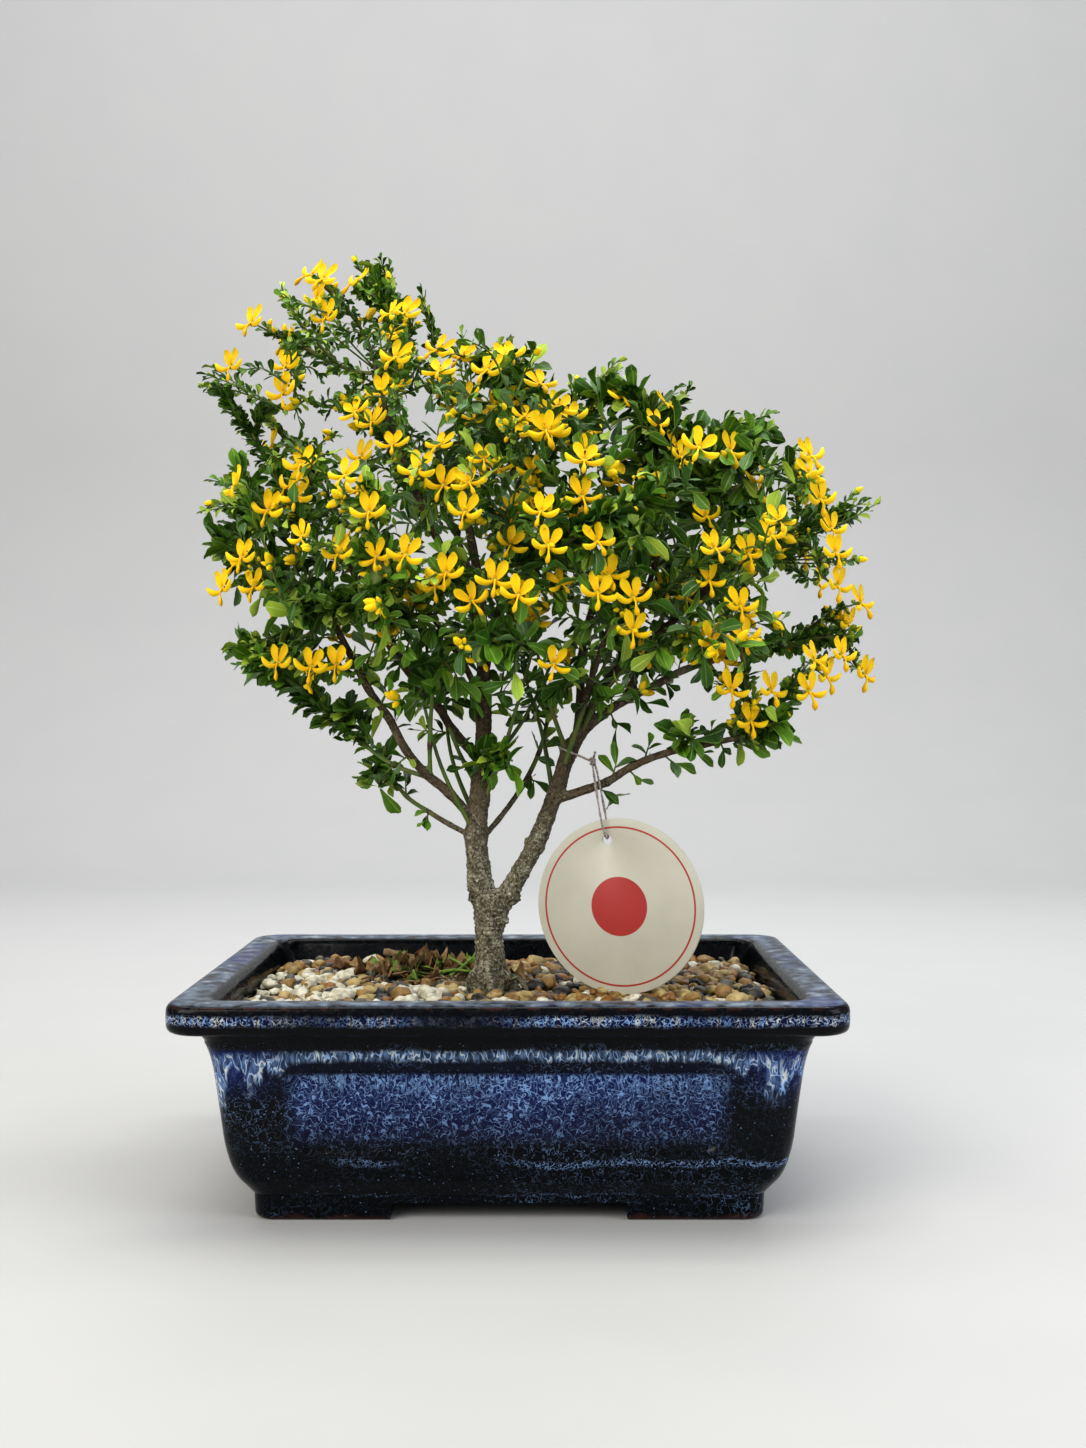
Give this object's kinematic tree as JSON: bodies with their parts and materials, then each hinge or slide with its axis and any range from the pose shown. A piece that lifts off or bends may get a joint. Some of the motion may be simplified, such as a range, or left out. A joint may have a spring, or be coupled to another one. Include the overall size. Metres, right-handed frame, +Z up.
{
  "type": "broom bonsai in a glazed pot",
  "caption": "Flowering broom bonsai with a forked trunk and yellow pea flowers, standing in a shallow blue-glazed rectangular pot with gravel and a round tag.",
  "frame": {"origin": "centre of the whole object's box, on the plane the pot's feet stand on", "axes": "+Z up along the trunk, +X to the right and -Y to the front as the picture shows it"},
  "size_m": [0.2332, 0.152, 0.3124],
  "materials": {
    "glaze": "gloss",
    "mesh": "matte",
    "soil": "matte",
    "gravel": "matte",
    "litter": "matte",
    "bark": "matte",
    "leaf": "satin",
    "petal": "satin",
    "card": "matte",
    "twine": "matte"
  },
  "bodies": {
    "root": {"drain_screen_left": "mesh", "drain_screen_right": "mesh", "flower_spray_01": "petal", "flower_spray_02": "petal", "flower_spray_03": "petal", "flower_spray_04": "petal", "flower_spray_05": "petal", "flower_spray_06": "petal", "flower_spray_07": "petal", "flower_spray_08": "petal", "flower_spray_09": "petal", "flower_spray_10": "petal", "flower_spray_11": "petal", "flower_spray_12": "petal", "flower_spray_13": "petal", "flower_spray_14": "petal", "flower_spray_15": "petal", "flower_spray_16": "petal", "flower_spray_17": "petal", "flower_spray_18": "petal", "flower_spray_19": "petal", "flower_spray_20": "petal", "flower_spray_21": "petal", "flower_spray_22": "petal", "flower_spray_23": "petal", "flower_spray_24": "petal", "flower_spray_25": "petal", "flower_spray_26": "petal", "flower_spray_27": "petal", "flower_spray_28": "petal", "flower_spray_29": "petal", "flower_spray_30": "petal", "gravel": "gravel", "hang_tag": "card", "leaf_litter": "litter", "leaf_spray_01": "leaf", "leaf_spray_02": "leaf", "leaf_spray_03": "leaf", "leaf_spray_04": "leaf", "leaf_spray_05": "leaf", "leaf_spray_06": "leaf", "leaf_spray_07": "leaf", "leaf_spray_08": "leaf", "leaf_spray_09": "leaf", "leaf_spray_10": "leaf", "leaf_spray_11": "leaf", "leaf_spray_12": "leaf", "leaf_spray_13": "leaf", "leaf_spray_14": "leaf", "leaf_spray_15": "leaf", "leaf_spray_16": "leaf", "leaf_spray_17": "leaf", "leaf_spray_18": "leaf", "leaf_spray_19": "leaf", "leaf_spray_20": "leaf", "leaf_spray_21": "leaf", "pot": "glaze", "soil": "soil", "tag_tie": "twine", "trunk_and_branches": "bark"}
  },
  "joints": []
}
